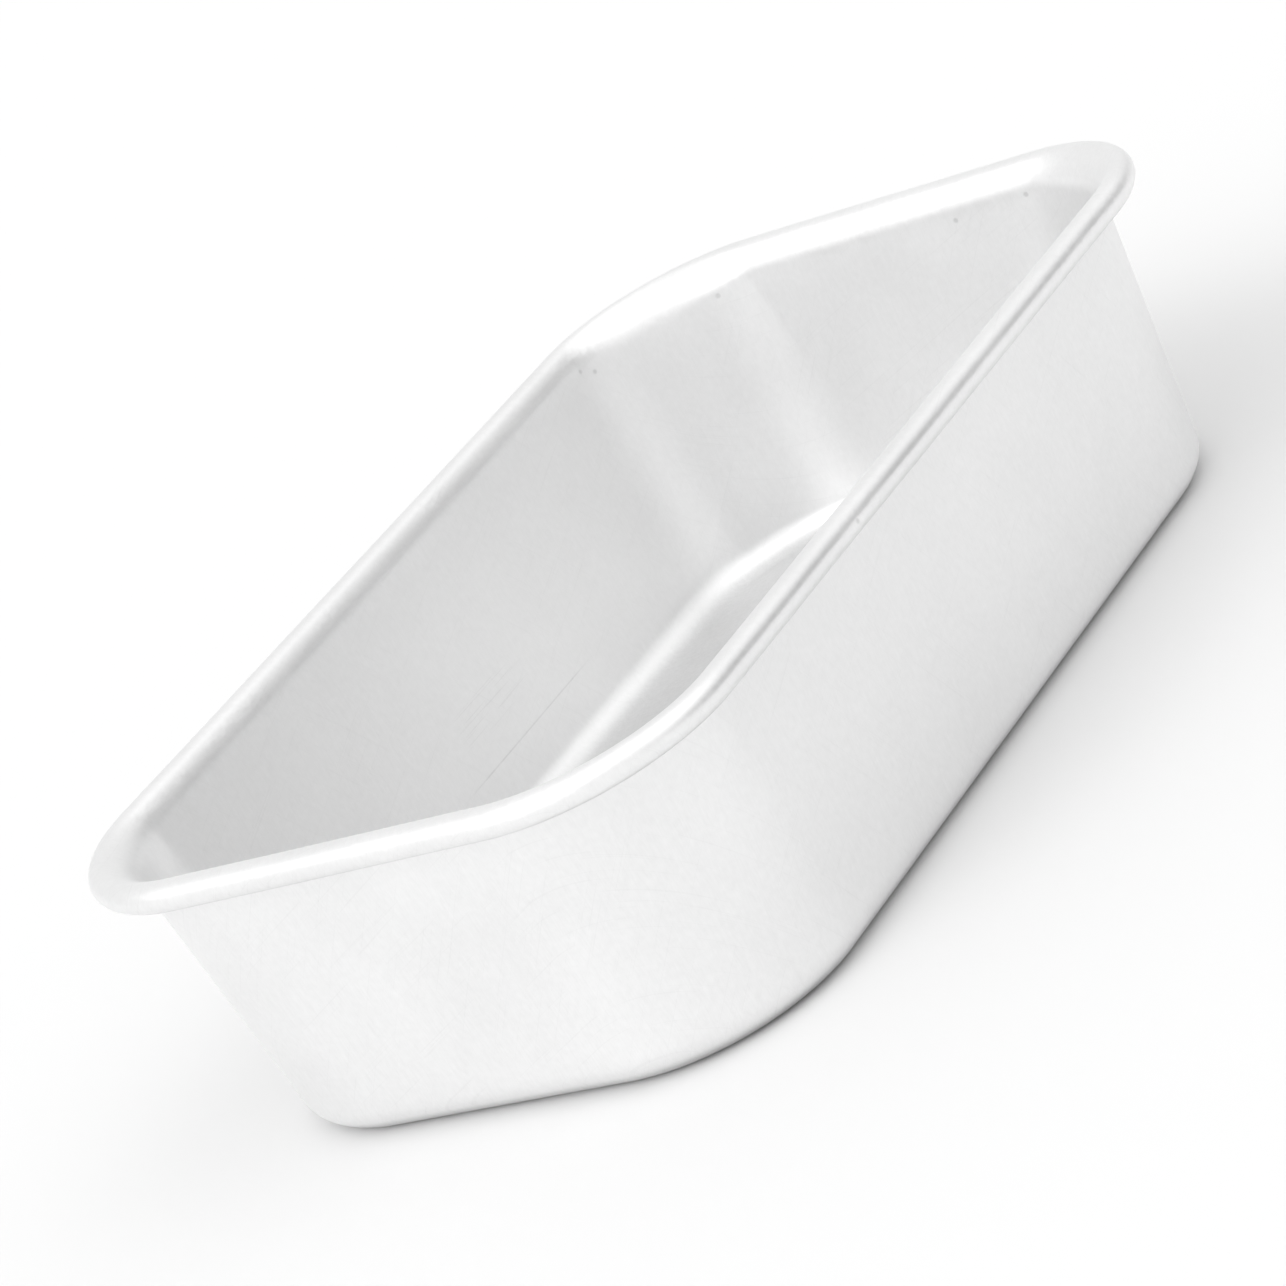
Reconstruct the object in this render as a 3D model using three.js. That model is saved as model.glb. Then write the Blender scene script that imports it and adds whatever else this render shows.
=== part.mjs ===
// A deep-drawn aluminium pan that holds wet joint compound. One sheet forms the floor, the drafted
// walls, the flare and the rolled rim, and a steel wire lies captive inside the roll.
// Millimetres, +Z up. The origin is the middle of the underside; X runs along the length.
import * as THREE from 'three';

// Overall size
const LENGTH = 244;
const WIDTH = 145;
const HEIGHT = 63.75;

// Sheet and walls
const SHEET = 1.0;
const WALL_LEAN = 4.2;         // how far each side leans out over the height of the roll's centre
const WALL_CORNER = 35.2;      // outer corner radius of the wall, the same at every height
const FLOOR_FILLET = 6.6;      // outer radius between wall and floor

// Flare and rolled rim
const ROLL_RADIUS = 2.95;      // outside of the roll
const RIM_REACH = 7.1;         // foot of the wall to the roll's centre, measured outwards
const RIM_CORNER = 33.0;       // corner radius of the roll's centre line
const FLARE_RADIUS = 8.1;      // outer face, where the wall bends outwards to meet the roll
const ROLL_SWEEP = 234;        // degrees of roll past its top, which leaves a slit facing the wall

// Wire
const WIRE_CLEARANCE = 0.3;

// Fineness of the mesh
const CORNER_STEPS = 8;
const FILLET_STEPS = 4;
const FLARE_STEPS = 4;
const CREST_STEPS = 4;
const ROLL_STEPS = 13;
const WIRE_SIDES = 12;

const QUARTER_TURN = Math.PI / 2;

// Derived sizes
const rimHalfLength = LENGTH / 2 - ROLL_RADIUS;
const rimHalfWidth = WIDTH / 2 - ROLL_RADIUS;
const rollHeight = HEIGHT - ROLL_RADIUS;
const coreRadius = ROLL_RADIUS - SHEET;
const wireRadius = coreRadius - WIRE_CLEARANCE;
const flareOffset = FLARE_RADIUS - coreRadius;

// A rounded rectangle seen from above, anticlockwise: each point has its place and the direction
// that faces out there. Every outline has the same number of points, so two of them can be joined.
function outline(halfLength, halfWidth, corner) {
  const points = [];
  for (let quadrant = 0; quadrant < 4; quadrant += 1) {
    const alongX = quadrant === 0 || quadrant === 3 ? 1 : -1;
    const alongY = quadrant < 2 ? 1 : -1;
    const centre = new THREE.Vector2(alongX * (halfLength - corner), alongY * (halfWidth - corner));
    for (let step = 0; step <= CORNER_STEPS; step += 1) {
      const angle = (quadrant + step / CORNER_STEPS) * QUARTER_TURN;
      const facing = new THREE.Vector2(Math.cos(angle), Math.sin(angle));
      const place = centre.clone().addScaledVector(facing, corner);
      points.push({ place, facing });
    }
  }
  return points;
}

const rim = outline(rimHalfLength, rimHalfWidth, RIM_CORNER);
const foot = outline(rimHalfLength - RIM_REACH, rimHalfWidth - RIM_REACH, WALL_CORNER);
const leaning = outline(
  rimHalfLength - RIM_REACH + WALL_LEAN,
  rimHalfWidth - RIM_REACH + WALL_LEAN,
  WALL_CORNER,
);

// How far another outline lies outside the foot at one of its points.
function outwardsOfFoot(other, index) {
  return other[index].place.clone().sub(foot[index].place).dot(foot[index].facing);
}

// What differs from point to point, in radians: the wall's lean from upright, and the lean at which
// the flare has closed the gap between the wall and the roll and runs into the roll.
const sections = foot.map((point, index) => {
  const tilt = Math.atan2(outwardsOfFoot(leaning, index), rollHeight);
  const rollFromWall = outwardsOfFoot(rim, index) * Math.cos(tilt) - rollHeight * Math.sin(tilt);
  const flareEnd = tilt + Math.acos(1 - (rollFromWall - coreRadius) / flareOffset);
  return { tilt, flareEnd };
});

// One ring of the loft: an outline moved outwards by a distance and lifted to a height, both of
// which may differ from point to point.
function ring(base, section) {
  return base.map((point, index) => {
    const { out, height } = section(sections[index]);
    const place = point.place.clone().addScaledVector(point.facing, out);
    return new THREE.Vector3(place.x, place.y, height);
  });
}

// Wall-to-floor fillet, from the wall (turn 0) to the floor (turn 1). Both faces share its centre.
function filletRing(turn, inset) {
  const radius = FLOOR_FILLET - inset;
  return ring(foot, ({ tilt }) => {
    const angle = turn * (QUARTER_TURN + tilt) - tilt;
    const centre = -FLOOR_FILLET * (1 - Math.sin(tilt)) / Math.cos(tilt);
    return { out: centre + radius * Math.cos(angle), height: FLOOR_FILLET - radius * Math.sin(angle) };
  });
}

// Flare, where the wall (turn 0) bends outwards until it meets the roll (turn 1).
function flareRing(turn, inset) {
  const radius = FLARE_RADIUS + inset;
  return ring(rim, ({ tilt, flareEnd }) => {
    const angle = tilt + turn * (flareEnd - tilt);
    const out = flareOffset * Math.cos(flareEnd) - radius * Math.cos(angle);
    const height = rollHeight - flareOffset * Math.sin(flareEnd) + radius * Math.sin(angle);
    return { out, height };
  });
}

// A point of the round section that the roll and the wire share, at an angle up from straight out.
function roundSection(radius, angle) {
  return { out: radius * Math.cos(angle), height: rollHeight + radius * Math.sin(angle) };
}

// Crest, from the end of the flare (turn 0) to the top of the roll (turn 1).
function crestRing(turn, inset) {
  return ring(rim, ({ flareEnd }) => {
    const angle = Math.PI - flareEnd - turn * (QUARTER_TURN - flareEnd);
    return roundSection(coreRadius + inset, angle);
  });
}

// Rolled rim, from its top (turn 0) outwards, down and back under to its edge (turn 1).
function rollRing(turn, inset) {
  const angle = QUARTER_TURN - THREE.MathUtils.degToRad(turn * ROLL_SWEEP);
  return ring(rim, () => roundSection(coreRadius + inset, angle));
}

// Rings of one kind at evenly spaced turns.
function rings(maker, steps, inset) {
  return Array.from({ length: steps + 1 }, (unused, step) => maker(step / steps, inset));
}

// Two triangles for each side of each strip between neighbouring rings.
function stripTriangles(ringCount, ringSize, closed) {
  const triangles = [];
  const strips = closed ? ringCount : ringCount - 1;
  for (let strip = 0; strip < strips; strip += 1) {
    const lower = strip * ringSize;
    const upper = ((strip + 1) % ringCount) * ringSize;
    for (let side = 0; side < ringSize; side += 1) {
      const next = (side + 1) % ringSize;
      triangles.push(lower + side, lower + next, upper + next);
      triangles.push(lower + side, upper + next, upper + side);
    }
  }
  return triangles;
}

// Flat triangles across one ring, facing up or down.
function capTriangles(points, first, facesUp) {
  const contour = points.map((point) => new THREE.Vector2(point.x, point.y));
  const triangles = [];
  for (const [a, b, c] of THREE.ShapeUtils.triangulateShape(contour, [])) {
    const corners = facesUp ? [a, b, c] : [a, c, b];
    triangles.push(...corners.map((corner) => first + corner));
  }
  return triangles;
}

function meshOf(name, points, triangles, material) {
  const geometry = new THREE.BufferGeometry().setFromPoints(points);
  geometry.setIndex(triangles);
  geometry.computeVertexNormals();
  const mesh = new THREE.Mesh(geometry, material);
  mesh.name = name;
  return mesh;
}

// All the rings of one face of the sheet, from the floor to the edge of the roll. Where one kind of
// ring ends the next begins, so the shared ring is left out once.
function faceRings(inset) {
  return [
    ...rings(filletRing, FILLET_STEPS, inset).reverse(),
    ...rings(flareRing, FLARE_STEPS, inset),
    ...rings(crestRing, CREST_STEPS, inset).slice(1),
    ...rings(rollRing, ROLL_STEPS, inset).slice(1),
  ];
}

// The drawn sheet: up its outer face, which becomes the inside of the roll, and back down its inner
// face, with the flat floor closing both ends of the loft.
function panShell() {
  const loft = [...faceRings(0), ...faceRings(SHEET).reverse()];
  const ringSize = foot.length;
  const lastRing = loft[loft.length - 1];
  const triangles = [
    ...capTriangles(loft[0], 0, false),
    ...stripTriangles(loft.length, ringSize, false),
    ...capTriangles(lastRing, (loft.length - 1) * ringSize, true),
  ];
  const satinAluminium = new THREE.MeshStandardMaterial({ color: 0xdcdee0, roughness: 0.36, metalness: 1 });
  return meshOf('pan_shell', loft.flat(), triangles, satinAluminium);
}

// The wire: a closed ring of round section on the roll's centre line.
function rimWire() {
  const loft = Array.from({ length: WIRE_SIDES }, (unused, side) => (
    ring(rim, () => roundSection(wireRadius, (side / WIRE_SIDES) * 2 * Math.PI))
  ));
  const drawnSteel = new THREE.MeshStandardMaterial({ color: 0xa9abad, roughness: 0.45, metalness: 1 });
  return meshOf('rim_wire', loft.flat(), stripTriangles(WIRE_SIDES, rim.length, true), drawnSteel);
}

const pan = new THREE.Group();
pan.add(panShell(), rimWire());

export default pan;
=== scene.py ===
"""A drawn aluminium pan with a rolled rim, on a pale floor in a white studio. Lengths are in metres."""

import functools
import math

import bpy
import numpy as np
from mathutils import Matrix, Vector


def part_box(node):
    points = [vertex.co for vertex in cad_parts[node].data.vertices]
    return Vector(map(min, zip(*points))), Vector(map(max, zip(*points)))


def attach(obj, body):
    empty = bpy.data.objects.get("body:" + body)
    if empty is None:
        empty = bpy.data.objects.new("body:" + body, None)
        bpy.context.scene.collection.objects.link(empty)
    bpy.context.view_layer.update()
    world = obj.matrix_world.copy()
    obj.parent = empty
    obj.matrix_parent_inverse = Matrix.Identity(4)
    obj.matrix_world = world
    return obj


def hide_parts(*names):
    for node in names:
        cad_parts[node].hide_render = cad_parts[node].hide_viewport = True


MM = 0.001

# The sheet, as the CAD model has it. The overall size comes from the frame.
SHEET = 1.0 * MM
WALL_LEAN = 4.2 * MM
WALL_CORNER = 35.2 * MM
FLOOR_FILLET = 6.6 * MM
ROLL_RADIUS = 2.95 * MM
RIM_REACH = 7.1 * MM
RIM_CORNER = 33.0 * MM
FLARE_RADIUS = 8.1 * MM
ROLL_SWEEP = math.radians(234)
WIRE_CLEARANCE = 0.3 * MM

# Fineness of the meshes
CORNER_STEPS = 40
LONG_SIDE_STEPS = 150
SHORT_SIDE_STEPS = 64
FILLET_STEPS = 12
WALL_STEPS = 9
FLARE_STEPS = 9
CREST_STEPS = 7
ROLL_STEPS = 23
EDGE_STEPS = 4
FLOOR_STEPS = 10
WIRE_SIDES = 16

# Real sheet isn't quite true: its floor is a little crowned and its walls have long shallow waves,
# each given by how far it runs along X, Y and Z.
FLOOR_CROWN = 0.25 * MM
WAVE_DEPTH = 0.035 * MM
WAVES = [(14 * MM, 19 * MM, 30 * MM), (-9 * MM, 13 * MM, 21 * MM), (31 * MM, -11 * MM, -17 * MM)]

# How far the trimmed edge of the sheet is rounded, as a part of the roll's sweep
EDGE_BULGE = 0.03

# Finish of the sheet: roughness, and colours where it is dull and where it is bright
DRAWN_ROUGHNESS = 0.48
BENT_ROUGHNESS = 0.41
# The inner face is a brighter copy of the outer metal: painted light that lifts the inside of the pan
INNER_LIGHTENED_DULL_METAL = (0.885, 0.885, 0.885, 1)
INNER_LIGHTENED_BRIGHT_METAL = (0.945, 0.945, 0.945, 1)
OUTER_DULL_METAL = (0.85, 0.85, 0.85, 1)
OUTER_BRIGHT_METAL = (0.92, 0.92, 0.92, 1)
# Darker metal towards the bottom of the pan, inside and out
BOTTOM_DULL_METAL = (0.62, 0.62, 0.62, 1)
BOTTOM_BRIGHT_METAL = (0.74, 0.74, 0.74, 1)
# Dark metal for the marks and for the painted shade in the crease under the roll
MARK_AND_SHADE_METAL = (0.40, 0.40, 0.40, 1)

# Where the finish changes, each from the place where the change starts to the place where it is whole
CORNER_ALONG_X = 78 * MM, 96 * MM
CORNER_ALONG_Y = 29 * MM, 47 * MM
RIM_HEIGHTS = 54 * MM, 60 * MM
ROLL_HEIGHTS = 59.5 * MM, 60.5 * MM
BASE_HEIGHTS = 12 * MM, 1 * MM
DARK_BOTTOM_HEIGHTS = 4 * MM, 1.2 * MM
UNDERSIDE_HEIGHTS = 1 * MM, 0.1 * MM
SHEET_DEPTHS = -0.7 * SHEET, -0.35 * SHEET

# Textures of the sheet and the wire, each given by how long its blots are along X, Y and Z, and the
# levels of the noise between which a patch of dents fades in
DRAWING_LINE = (0.3 * MM, 0.3 * MM, 9 * MM)
MOTTLE = (1.1 * MM, 1.1 * MM, 1.4 * MM)
CLOUD = (28 * MM, 28 * MM, 28 * MM)
DENT = (1.8 * MM, 1.8 * MM, 1.2 * MM)
DENT_PATCH = (26 * MM, 26 * MM, 26 * MM)
DENT_PATCH_LEVELS = -0.05, 0.25
HAIRLINE = (0.2 * MM, 30 * MM, 30 * MM)
WIRE_STREAK = (3 * MM, 3 * MM, 0.2 * MM)

# What the layers of the finish add to its roughness, to its shade from dull to bright, and to its height
ROUGHNESS_LAYERS = {"lines": 0.02, "mottle": 0.02, "clouds": 0.03}
SHADE_LAYERS = {"lines": 0.25, "mottle": 0.25, "clouds": 0.3, "marks_and_crease_shade": -1.0}
HEIGHT_LAYERS = {"lines": 0.0015 * MM, "mottle": 0.006 * MM, "dents": 0.02 * MM, "marks_and_crease_shade": -0.03 * MM}

# Marks, and the painted shade in the crease under the roll, and how strongly each shows
MARK_AND_SHADE_LAYERS = {"tool line": 0.2, "painted crease shade": 0.35, "specks": 0.3, "scratches": 0.04, "scuffs": 0.2}

# A level line that the drawing tool left on the inside of one long wall, broken here and there, and a
# rubbed patch of fainter lines above it
TOOL_LINE_HEIGHT = 14.5 * MM
TOOL_LINE_WIDTH = 0.22 * MM
TOOL_LINE_MIDDLE = 14 * MM
TOOL_LINE_REACH = 29 * MM
TOOL_LINE_BREAK = (3 * MM, 3 * MM, 3 * MM)
TOOL_LINE_STRENGTH = 0.8
TOOL_LINE_UNEVENNESS = 0.4
RUB_HEIGHT = 25 * MM
RUB_RISE = 6 * MM
RUB_MIDDLE = 9 * MM
RUB_REACH = 16 * MM
RUB_LINE = (14 * MM, 14 * MM, 0.3 * MM)
RUB_LEVELS = 0.25, 0.55
RUB_STRENGTH = 0.4

# Painted shade in the crease under the roll: a dark band on the outer face about this height, standing for
# the shadow where the roll meets the wall
CREASE_HEIGHT = 57.4 * MM
CREASE_REACH = 1.5 * MM

# Pits in the inner face at the +X end, each given by how far along it lies from the end's middle, on
# round the corner if need be, and by its height. A nick on the -Y side of the roll, by its place along X
SPECK_SIZE = 0.8 * MM
SPECKS = ((-34.5 * MM, 57 * MM), (-16.5 * MM, 56 * MM), (45 * MM, 56 * MM), (77.5 * MM, 56 * MM),
          (81 * MM, 58 * MM))
NICK_ALONG = -34 * MM

# Hairlines from handling, and scuffs on the underside from sliding: how their planes are turned, and
# the level of the noise above which they show, which is lower for more of them
SCRATCH_TURNS = ((0.75, 0.6, 0.2), (-0.8, 0.5, 1.3))
SCRATCH_LEVEL = 0.5
SCUFF_TURNS = ((0, 0, 0.4), (0, 0, 1.4), (0, 0, 2.5))
SCUFF_LEVEL = 0.45
HAIRLINE_FADE = 0.12

# The wire
WIRE_DULL_METAL = (0.42, 0.43, 0.44, 1)
WIRE_BRIGHT_METAL = (0.58, 0.59, 0.60, 1)
WIRE_ROUGHNESS = 0.4
WIRE_STREAK_ROUGHNESS = 0.06

# The studio's floor, a hair under the pan so that the two never touch
FLOOR_REACH = 4.0
FLOOR_DROP = 0.05 * MM
FLOOR_COLOUR = (0.78, 0.78, 0.78, 1)
FLOOR_ROUGHNESS = 0.9

# Light of the studio: an even white, and soft lights given as degrees round from +X, degrees up,
# how narrow each is, and its strength.
EVEN_LIGHT = 0.91
SOFT_LIGHTS = [(170, 38, 21.0, 4.2), (-75, 55, 6.0, 0.80), (-54, -5, 5.2, -0.86)]

# The camera: it looks at the middle of the pan, turned about its own axis, and slid a little.
VIEW_AZIMUTH = math.radians(-49.67)
VIEW_ELEVATION = math.radians(18.72)
VIEW_ROLL = math.radians(-29.29)
VIEW_DISTANCE = 1015.8 * MM
VIEW_SLIDE = (-10.86 * MM, -1.70 * MM)
LENS = 149.38
SENSOR = 36.0


def outline(half_length, half_width, corner):
    """A rounded rectangle seen from above: points and the directions that face out there."""
    places, facings = [], []
    for quadrant in range(4):
        along_x = 1 if quadrant in (0, 3) else -1
        along_y = 1 if quadrant < 2 else -1
        centre = np.array([along_x * (half_length - corner), along_y * (half_width - corner)])
        for step in range(CORNER_STEPS + 1):
            angle = (quadrant + step / CORNER_STEPS) * math.pi / 2
            facing = np.array([math.cos(angle), math.sin(angle)])
            places.append(centre + corner * facing)
            facings.append(facing)
        side_steps = LONG_SIDE_STEPS if quadrant in (0, 2) else SHORT_SIDE_STEPS
        side = 2 * ((half_length if quadrant in (0, 2) else half_width) - corner)
        along = np.array([-facing[1], facing[0]])
        for step in range(1, side_steps):
            places.append(centre + corner * facing + along * side * step / side_steps)
            facings.append(facing)
    return np.array(places), np.array(facings)


class Pan:
    """The pan's sizes and the rings that its surfaces are lofted through."""

    def __init__(self, low, high):
        self.height = high.z
        self.nick = Vector((NICK_ALONG, low.y, self.height - ROLL_RADIUS))
        self.roll_height = self.height - ROLL_RADIUS
        self.core_radius = ROLL_RADIUS - SHEET
        half_length, half_width = high.x - ROLL_RADIUS, high.y - ROLL_RADIUS
        self.rim, self.facings = outline(half_length, half_width, RIM_CORNER)
        self.foot_half_sizes = half_length - RIM_REACH, half_width - RIM_REACH
        self.foot, _ = outline(*self.foot_half_sizes, WALL_CORNER)
        leaning, _ = outline(*[half_size + WALL_LEAN for half_size in self.foot_half_sizes], WALL_CORNER)

        lean = ((leaning - self.foot) * self.facings).sum(axis=1)
        self.tilt = np.arctan2(lean, self.roll_height)
        out = ((self.rim - self.foot) * self.facings).sum(axis=1)
        roll_from_wall = out * np.cos(self.tilt) - self.roll_height * np.sin(self.tilt)
        self.flare_offset = FLARE_RADIUS - self.core_radius
        self.flare_end = self.tilt + np.arccos(1 - (roll_from_wall - self.core_radius) / self.flare_offset)

    def ring(self, base, out, height):
        heights = np.broadcast_to(height, len(base))
        out = out - self.sway(base, heights)
        places = base + self.facings * np.reshape(out, (-1, 1))
        return np.column_stack([places, heights])

    def sway(self, base, heights):
        """How far the thin walls bend inwards from true, in long shallow waves that die out at the floor."""
        x, y = base.T
        waves = sum(1 + np.sin(x / length_x + y / length_y + heights / length_z)
                    for length_x, length_y, length_z in WAVES)
        free = np.clip(heights / self.roll_height, 0, 1)
        return WAVE_DEPTH * waves * free * free

    def pit(self, along, height):
        """A place on the inner face at the +X end, so far from the end's middle and on round the corner."""
        lean = WALL_LEAN * height / self.roll_height
        corner_x, corner_y = [half_size + lean - WALL_CORNER for half_size in self.foot_half_sizes]
        turn = max(along - corner_y, 0) / WALL_CORNER
        radius = WALL_CORNER - SHEET
        x = corner_x + radius * math.cos(turn)
        y = min(along, corner_y) + radius * math.sin(turn)
        return Vector((x, y, height))

    def fillet(self, turn, inset):
        """Wall-to-floor fillet, from the wall (turn 0) to the floor (turn 1)."""
        angle = turn * (math.pi / 2 + self.tilt) - self.tilt
        centre = -FLOOR_FILLET * (1 - np.sin(self.tilt)) / np.cos(self.tilt)
        radius = FLOOR_FILLET - inset
        return self.ring(self.foot, centre + radius * np.cos(angle), FLOOR_FILLET - radius * np.sin(angle))

    def flare(self, turn, inset):
        """Brim, where the wall (turn 0) bends outwards until it meets the roll (turn 1)."""
        angle = self.tilt + turn * (self.flare_end - self.tilt)
        radius = FLARE_RADIUS + inset
        out = self.flare_offset * np.cos(self.flare_end) - radius * np.cos(angle)
        height = self.roll_height - self.flare_offset * np.sin(self.flare_end) + radius * np.sin(angle)
        return self.ring(self.rim, out, height)

    def around(self, radius, angle):
        """A ring of round section about the roll's centre line, at an angle up from straight out."""
        return self.ring(self.rim, radius * np.cos(angle), self.roll_height + radius * np.sin(angle))

    def crest(self, turn, inset):
        """From the end of the flare (turn 0) to the top of the roll (turn 1)."""
        angle = math.pi - self.flare_end - turn * (math.pi / 2 - self.flare_end)
        return self.around(self.core_radius + inset, angle)

    def roll(self, turn, inset):
        """Rolled rim, from its top (turn 0) outwards, down and back under to its edge (turn 1)."""
        return self.around(self.core_radius + inset, math.pi / 2 - turn * ROLL_SWEEP)

    def edge(self):
        """Rings round the sheet's trimmed edge, from its hollow side to its outer side."""
        angles = [math.pi * step / EDGE_STEPS for step in range(1, EDGE_STEPS)]
        return [self.roll(1 + EDGE_BULGE * math.sin(a), SHEET * (1 - math.cos(a)) / 2) for a in angles]

    def wall(self, inset):
        """Rings between the top of the fillet and the foot of the flare, ends left out."""
        lower, upper = self.fillet(0, inset), self.flare(0, inset)
        return [lower + (upper - lower) * step / WALL_STEPS for step in range(1, WALL_STEPS)]

    def floor(self, inset):
        """Rings from near the middle of the floor out to the fillet, fillet left out."""
        rim = self.fillet(1, inset)
        rings = []
        for step in range(1, FLOOR_STEPS):
            share = step / FLOOR_STEPS
            rings.append(rim * np.array([share, share, 1]) + np.array([0, 0, self.crown(share)]))
        return rings

    def crown(self, share):
        """Rise of the floor at a share of the way from its middle to its edge."""
        return FLOOR_CROWN * (1 - share * share) ** 2

    def face(self, inset):
        """All the rings of one face of the sheet, from the middle of the floor to the edge of the roll."""
        fillet = [self.fillet(1 - step / FILLET_STEPS, inset) for step in range(FILLET_STEPS + 1)]
        flare = [self.flare(step / FLARE_STEPS, inset) for step in range(FLARE_STEPS)]
        crest = [self.crest(step / CREST_STEPS, inset) for step in range(CREST_STEPS)]
        roll = [self.roll(step / ROLL_STEPS, inset) for step in range(ROLL_STEPS + 1)]
        return self.floor(inset) + fillet + self.wall(inset) + flare + crest + roll


def loft(name, rings, closed, poles=()):
    """A mesh through rings of equal size. Poles are the points that close its first and last ring."""
    count, size = len(rings), len(rings[0])
    verts = np.vstack(rings + [np.array(poles).reshape(-1, 3)])
    faces = []
    for strip in range(count if closed else count - 1):
        lower, upper = strip * size, ((strip + 1) % count) * size
        for side in range(size):
            following = (side + 1) % size
            faces.append((lower + side, lower + following, upper + following, upper + side))
    if len(poles):
        first, last = count * size, count * size + 1
        top = (count - 1) * size
        faces += [(first, (side + 1) % size, side) for side in range(size)]
        faces += [(last, top + side, top + (side + 1) % size) for side in range(size)]
    mesh = bpy.data.meshes.new(name)
    mesh.from_pydata(verts.tolist(), [], faces)
    mesh.update()
    mesh.shade_smooth()
    piece = bpy.data.objects.new(name, mesh)
    bpy.context.scene.collection.objects.link(piece)
    return piece


def make_shell(pan):
    rings = pan.face(0) + pan.edge() + pan.face(SHEET)[::-1]
    middle = pan.crown(0)
    return loft("pan_sheet", rings, closed=False, poles=[(0, 0, middle), (0, 0, middle + SHEET)])


def make_wire(pan):
    radius = pan.core_radius - WIRE_CLEARANCE
    angles = [2 * math.pi * side / WIRE_SIDES for side in range(WIRE_SIDES)]
    rings = [pan.around(radius, angle) for angle in angles]
    return loft("rim_wire_ring", rings, closed=True)


class NodeTree:
    """Short ways to add nodes to a material or to the world, and to join them."""

    def __init__(self, owner, coordinates):
        owner.use_nodes = True
        self.tree = owner.node_tree
        self.place = self.add("ShaderNodeTexCoord").outputs[coordinates]

    def add(self, kind, **settings):
        node = self.tree.nodes.new(kind)
        for name, value in settings.items():
            setattr(node, name, value)
        return node

    def feed(self, socket, value):
        """Joins an output to a socket, or sets the socket to a plain value."""
        if isinstance(value, bpy.types.NodeSocket):
            self.tree.links.new(value, socket)
        else:
            socket.default_value = value

    def fill(self, sockets, values):
        for socket, value in zip(sockets, values):
            self.feed(socket, value)

    def number(self, operation, *values):
        """The result of a calculation on numbers."""
        node = self.add("ShaderNodeMath", operation=operation)
        self.fill(node.inputs, values)
        return node.outputs["Value"]

    def vector(self, operation, *values):
        """The outputs of a calculation on vectors."""
        node = self.add("ShaderNodeVectorMath", operation=operation)
        self.fill(node.inputs, values)
        return node.outputs

    def product(self, *values):
        return functools.reduce(functools.partial(self.number, "MULTIPLY"), values)

    def total(self, *values):
        return functools.reduce(functools.partial(self.number, "ADD"), values)


class Finish(NodeTree):
    """One material, with the patterns that its colour, roughness and bumps are made of."""

    def __init__(self, name):
        self.material = bpy.data.materials.new(name)
        super().__init__(self.material, "Object")
        self.shader = self.tree.nodes["Principled BSDF"]

    def axes(self):
        node = self.add("ShaderNodeSeparateXYZ")
        self.feed(node.inputs[0], self.place)
        return node.outputs

    def step(self, value, start, end):
        """0 before the start and 1 past the end, with a smooth change between. It may run downwards."""
        node = self.add("ShaderNodeMapRange", interpolation_type="SMOOTHSTEP")
        rises = start < end
        self.fill(node.inputs, (value, min(start, end), max(start, end), float(not rises), float(rises)))
        return node.outputs[0]

    def near(self, value, middle, reach):
        """1 in the middle, falling smoothly to 0 at the reach on either side."""
        offset = self.number("ABSOLUTE", self.number("SUBTRACT", value, middle))
        return self.step(offset, reach, reach / 2)

    def blend(self, amount, start, end):
        """A number between two, where amount runs from 0 to 1."""
        node = self.add("ShaderNodeMix")
        self.fill(node.inputs[0:1] + node.inputs[2:4], (amount, start, end))
        return node.outputs[0]

    def tint(self, amount, start, end):
        """A colour between two, where amount runs from 0 to 1."""
        node = self.add("ShaderNodeMix", data_type="RGBA")
        self.fill(node.inputs[0:1] + node.inputs[6:8], (amount, start, end))
        return node.outputs[2]

    def weighted(self, layers, weights):
        """The sum of the layers that have a weight, each times its weight."""
        return self.total(*[self.product(layers[name], weight) for name, weight in weights.items()])

    def noise(self, sizes, detail=1.0, place=None):
        """Noise from about -1 to 1, whose blots have these sizes along X, Y and Z."""
        scaled = self.vector("DIVIDE", place or self.place, sizes)["Vector"]
        node = self.add("ShaderNodeTexNoise", normalize=False)
        self.feed(node.inputs["Vector"], scaled)
        self.feed(node.inputs["Scale"], 1.0)
        self.feed(node.inputs["Detail"], detail)
        return node.outputs[0]

    def hairlines(self, turns, level):
        """Thin straight lines, in planes that are turned in several ways."""
        lines = []
        for turn in turns:
            turned = self.add("ShaderNodeVectorRotate", rotation_type="EULER_XYZ")
            self.feed(turned.inputs["Vector"], self.place)
            self.feed(turned.inputs["Rotation"], turn)
            ridges = self.noise(HAIRLINE, place=turned.outputs[0])
            lines.append(self.step(ridges, level, level + HAIRLINE_FADE))
        return self.total(*lines)

    def spot(self, place, size):
        """1 at a place, falling to 0 at a distance from it."""
        distance = self.vector("DISTANCE", self.place, place)["Value"]
        return self.step(distance, size, size / 3)

    def set_metal(self, colour, roughness):
        self.feed(self.shader.inputs["Base Color"], colour)
        self.feed(self.shader.inputs["Metallic"], 1.0)
        self.feed(self.shader.inputs["Roughness"], roughness)

    def raise_by(self, height):
        """Bumps the surface by a height in metres."""
        node = self.add("ShaderNodeBump")
        self.feed(node.inputs["Distance"], 1.0)
        self.feed(node.inputs["Height"], height)
        self.feed(self.shader.inputs["Normal"], node.outputs[0])


def outer_face(look, pan, x, y, z):
    """1 on the outer face of the wall and on the roll, 0 on the inner face of the wall."""
    lean = look.product(z, WALL_LEAN / pan.roll_height)
    squares = []
    for along, half_size in zip((x, y), pan.foot_half_sizes):
        straight = look.total(lean, half_size - WALL_CORNER)
        past = look.number("MAXIMUM", look.number("SUBTRACT", look.number("ABSOLUTE", along), straight), 0.0)
        squares.append(look.product(past, past))
    outwards = look.number("SUBTRACT", look.number("SQRT", look.total(*squares)), WALL_CORNER)
    return look.step(outwards, *SHEET_DEPTHS)


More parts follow.
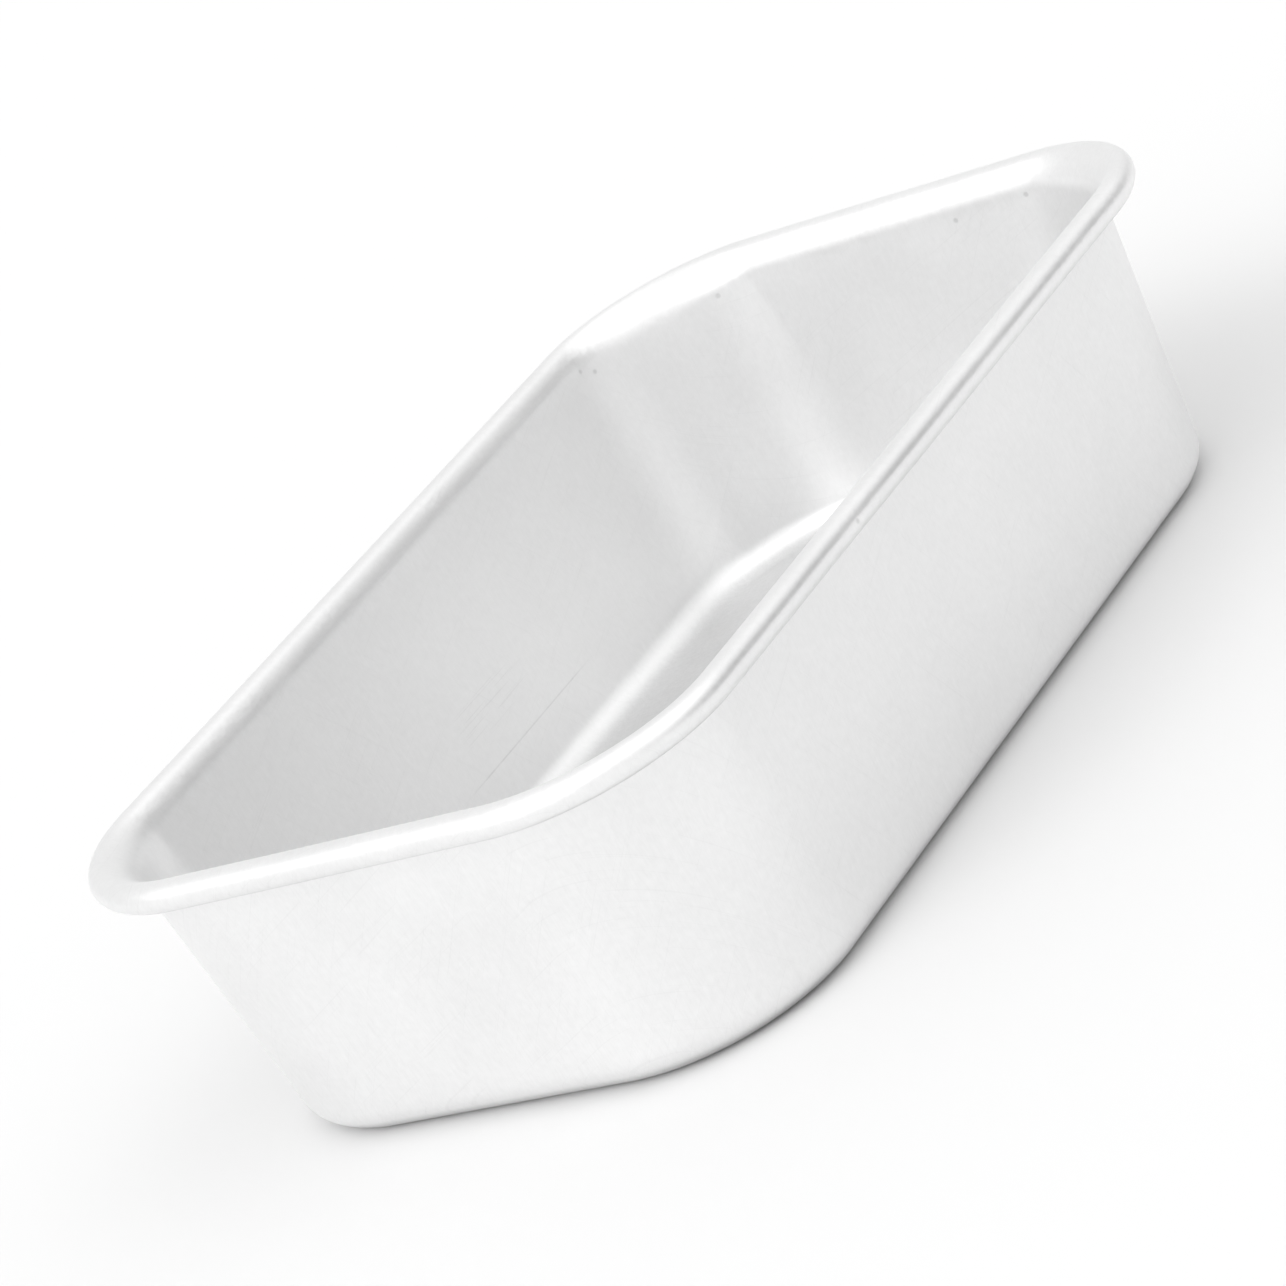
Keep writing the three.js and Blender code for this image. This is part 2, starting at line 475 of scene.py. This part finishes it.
def bent_share(look, x, y, z):
    """1 where the sheet was bent, at the corners, the rim and the base, and 0 on flat walls."""
    corner = look.product(look.step(look.number("ABSOLUTE", x), *CORNER_ALONG_X),
                          look.step(look.number("ABSOLUTE", y), *CORNER_ALONG_Y))
    rim = look.step(z, *RIM_HEIGHTS)
    base = look.step(z, *BASE_HEIGHTS)
    return look.number("MAXIMUM", corner, look.number("MAXIMUM", rim, base))


def tool_line(look, outside, x, y, z):
    """The level line on the inner face of one long wall, and the fainter ones above it."""
    inner_face = look.blend(outside, look.step(y, 0.0, SHEET), 0.0)
    breaks = look.number("MULTIPLY_ADD", look.noise(TOOL_LINE_BREAK),
                         TOOL_LINE_UNEVENNESS, TOOL_LINE_STRENGTH)
    line = look.product(look.near(z, TOOL_LINE_HEIGHT, TOOL_LINE_WIDTH),
                        look.near(x, TOOL_LINE_MIDDLE, TOOL_LINE_REACH), breaks)
    rubbing = look.product(look.step(look.noise(RUB_LINE), *RUB_LEVELS),
                           look.near(z, RUB_HEIGHT, RUB_RISE),
                           look.near(x, RUB_MIDDLE, RUB_REACH), RUB_STRENGTH)
    return look.product(inner_face, look.total(line, rubbing))


def roll_dents(look, z):
    """Shallow dents along the top and outside of the roll, in patches."""
    patches = look.step(look.noise(DENT_PATCH), *DENT_PATCH_LEVELS)
    return look.product(look.noise(DENT), look.step(z, *ROLL_HEIGHTS), patches)


def satin_aluminium(pan):
    """Drawn sheet: matt walls, smoother bends, metal darker towards the bottom, an inner face brightened
    with painted light, painted shade in the crease under the roll, and the traces of drawing and of use.
    """
    look = Finish("satin_aluminium")
    x, y, z = look.axes()
    outside = outer_face(look, pan, x, y, z)
    specks = [pan.pit(*speck) for speck in SPECKS] + [pan.nick]
    marks_and_crease_shade = look.weighted({
        "tool line": tool_line(look, outside, x, y, z),
        # Painted shade: the crease under the roll is darkened as if in shadow
        "painted crease shade": look.product(outside, look.near(z, CREASE_HEIGHT, CREASE_REACH)),
        "specks": look.total(*[look.spot(place, SPECK_SIZE) for place in specks]),
        "scratches": look.hairlines(SCRATCH_TURNS, SCRATCH_LEVEL),
        "scuffs": look.product(look.hairlines(SCUFF_TURNS, SCUFF_LEVEL), look.step(z, *UNDERSIDE_HEIGHTS)),
    }, MARK_AND_SHADE_LAYERS)
    layers = {
        "lines": look.noise(DRAWING_LINE, detail=2.0),
        "mottle": look.noise(MOTTLE, detail=2.0),
        "clouds": look.noise(CLOUD, detail=2.0),
        "dents": roll_dents(look, z),
        "marks_and_crease_shade": marks_and_crease_shade,
    }

    shade = look.total(0.5, look.weighted(layers, SHADE_LAYERS))
    # Painted light: the inner face takes a brighter copy of the metal
    inner = look.tint(shade, INNER_LIGHTENED_DULL_METAL, INNER_LIGHTENED_BRIGHT_METAL)
    outer = look.tint(shade, OUTER_DULL_METAL, OUTER_BRIGHT_METAL)
    # Darker metal towards the bottom, inside and out
    bottom_metal = look.tint(shade, BOTTOM_DULL_METAL, BOTTOM_BRIGHT_METAL)
    metal = look.tint(look.step(z, *DARK_BOTTOM_HEIGHTS), look.tint(outside, inner, outer), bottom_metal)

    smoothness = look.blend(bent_share(look, x, y, z), DRAWN_ROUGHNESS, BENT_ROUGHNESS)
    roughness = look.total(smoothness, look.weighted(layers, ROUGHNESS_LAYERS))
    # Marks and the painted crease shade pull the colour towards the dark metal
    look.set_metal(look.tint(marks_and_crease_shade, metal, MARK_AND_SHADE_METAL), roughness)
    look.raise_by(look.weighted(layers, HEIGHT_LAYERS))
    return look.material


def drawn_steel():
    """Dull steel wire, streaked along its length."""
    look = Finish("drawn_steel")
    streaks = look.noise(WIRE_STREAK, detail=2.0)
    shade = look.number("MULTIPLY_ADD", streaks, 0.5, 0.5)
    roughness = look.number("MULTIPLY_ADD", streaks, WIRE_STREAK_ROUGHNESS, WIRE_ROUGHNESS)
    look.set_metal(look.tint(shade, WIRE_DULL_METAL, WIRE_BRIGHT_METAL), roughness)
    return look.material


def pale_floor():
    """The studio's plain floor."""
    look = Finish("pale_floor")
    look.feed(look.shader.inputs["Base Color"], FLOOR_COLOUR)
    look.feed(look.shader.inputs["Roughness"], FLOOR_ROUGHNESS)
    return look.material


def make_floor():
    sides = [(-1, -1), (1, -1), (1, 1), (-1, 1)]
    corners = [(x * FLOOR_REACH, y * FLOOR_REACH, -FLOOR_DROP) for x, y in sides]
    mesh = bpy.data.meshes.new("studio_floor")
    mesh.from_pydata(corners, [], [(0, 1, 2, 3)])
    mesh.materials.append(pale_floor())
    floor = bpy.data.objects.new("studio_floor", mesh)
    bpy.context.scene.collection.objects.link(floor)


def glow(sky, turn, lift, narrowness, strength):
    """Light from one direction, which fades smoothly to all sides."""
    turn, lift = math.radians(turn), math.radians(lift)
    aim = (math.cos(lift) * math.cos(turn), math.cos(lift) * math.sin(turn), math.sin(lift))
    closeness = sky.vector("DOT_PRODUCT", sky.place, aim)["Value"]
    fade = sky.number("EXPONENT", sky.number("MULTIPLY_ADD", closeness, narrowness, -narrowness))
    return sky.product(fade, strength)


def make_world():
    world = bpy.data.worlds.new("white_studio")
    sky = NodeTree(world, "Generated")
    background = sky.tree.nodes["Background"]
    glows = [glow(sky, *light) for light in SOFT_LIGHTS]
    sky.feed(background.inputs["Color"], (1, 1, 1, 1))
    sky.feed(background.inputs["Strength"], sky.total(EVEN_LIGHT, *glows))
    bpy.context.scene.world = world


def make_camera(height):
    azimuth, elevation, roll = VIEW_AZIMUTH, VIEW_ELEVATION, VIEW_ROLL
    back = Vector((math.sin(azimuth) * math.cos(elevation), -math.cos(azimuth) * math.cos(elevation),
                   math.sin(elevation)))
    level = (-back).cross(Vector((0, 0, 1))).normalized()
    upright = back.cross(level)
    right = level * math.cos(roll) + upright * math.sin(roll)
    up = upright * math.cos(roll) - level * math.sin(roll)
    target = Vector((0, 0, height / 2)) + right * VIEW_SLIDE[0] + up * VIEW_SLIDE[1]
    camera = bpy.data.objects.new("camera", bpy.data.cameras.new("camera"))
    camera.data.sensor_width = SENSOR
    camera.data.lens = LENS
    turn = Matrix((right, up, back)).transposed().to_4x4()
    camera.matrix_world = Matrix.Translation(target + back * VIEW_DISTANCE) @ turn
    bpy.context.scene.collection.objects.link(camera)
    bpy.context.scene.camera = camera


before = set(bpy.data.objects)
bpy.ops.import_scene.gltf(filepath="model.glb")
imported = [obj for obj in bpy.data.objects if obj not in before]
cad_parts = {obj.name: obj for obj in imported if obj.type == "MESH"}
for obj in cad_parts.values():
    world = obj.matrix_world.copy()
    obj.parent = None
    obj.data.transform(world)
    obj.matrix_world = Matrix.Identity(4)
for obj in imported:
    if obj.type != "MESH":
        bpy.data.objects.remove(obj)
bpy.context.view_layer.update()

pan = Pan(*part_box("pan_shell"))
make_camera(pan.height)

shell = make_shell(pan)
shell.data.materials.append(satin_aluminium(pan))
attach(shell, "root")
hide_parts("pan_shell")

wire = make_wire(pan)
wire.data.materials.append(drawn_steel())
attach(wire, "root")
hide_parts("rim_wire")

make_floor()
make_world()
bpy.context.scene.view_settings.view_transform = "Standard"
